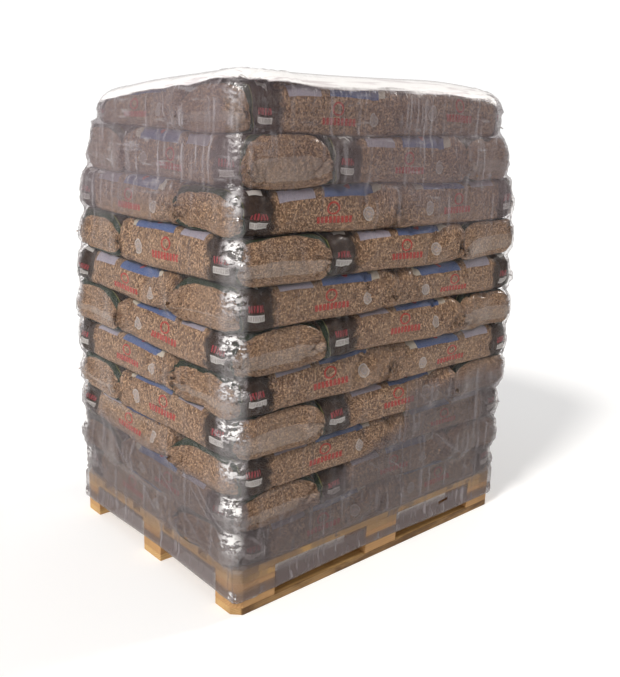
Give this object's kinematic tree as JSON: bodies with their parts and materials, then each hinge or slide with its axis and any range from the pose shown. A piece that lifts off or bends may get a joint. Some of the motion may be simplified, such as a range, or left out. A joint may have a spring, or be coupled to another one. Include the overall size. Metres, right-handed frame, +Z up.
{
  "type": "pallet of sacks",
  "caption": "Film-wrapped pallet load of filled clear-plastic sacks in crossed layers on a wooden four-way block pallet.",
  "frame": {"origin": "middle of the pallet's footprint, on the floor", "axes": "+Z up, the 1200 mm side of the pallet along X, the 900 mm side along Y; the picture looks from -X and -Y"},
  "size_m": [1.2436, 0.9326, 1.5037],
  "materials": {
    "board_wood": "sawn pale pine, dry, greyed and shiny where the film covers it",
    "block_wood": "sawn pine blocks, slightly darker end grain",
    "sack_film": "clear glossy sack film over brown wood pellets, with dark green bands and dark brown label areas",
    "wrap_film": "thin clear stretch film, glossy, hazy where several turns lie over each other"
  },
  "bodies": {
    "root": {"bottom_board_front": "board_wood", "bottom_board_middle": "board_wood", "bottom_board_back": "board_wood", "block_front_left": "block_wood", "block_front_centre": "block_wood", "block_front_right": "block_wood", "block_middle_left": "block_wood", "block_middle_centre": "block_wood", "block_middle_right": "block_wood", "block_back_left": "block_wood", "block_back_centre": "block_wood", "block_back_right": "block_wood", "cross_board_left": "board_wood", "cross_board_centre": "board_wood", "cross_board_right": "board_wood", "deck_board_1": "board_wood", "deck_board_2": "board_wood", "deck_board_3": "board_wood", "deck_board_4": "board_wood", "deck_board_5": "board_wood", "sack_layer_01": "sack_film", "sack_layer_02": "sack_film", "sack_layer_03": "sack_film", "sack_layer_04": "sack_film", "sack_layer_05": "sack_film", "sack_layer_06": "sack_film", "sack_layer_07": "sack_film", "sack_layer_08": "sack_film", "sack_layer_09": "sack_film", "sack_layer_10": "sack_film", "sack_layer_11": "sack_film", "stretch_film": "wrap_film"}
  },
  "joints": []
}
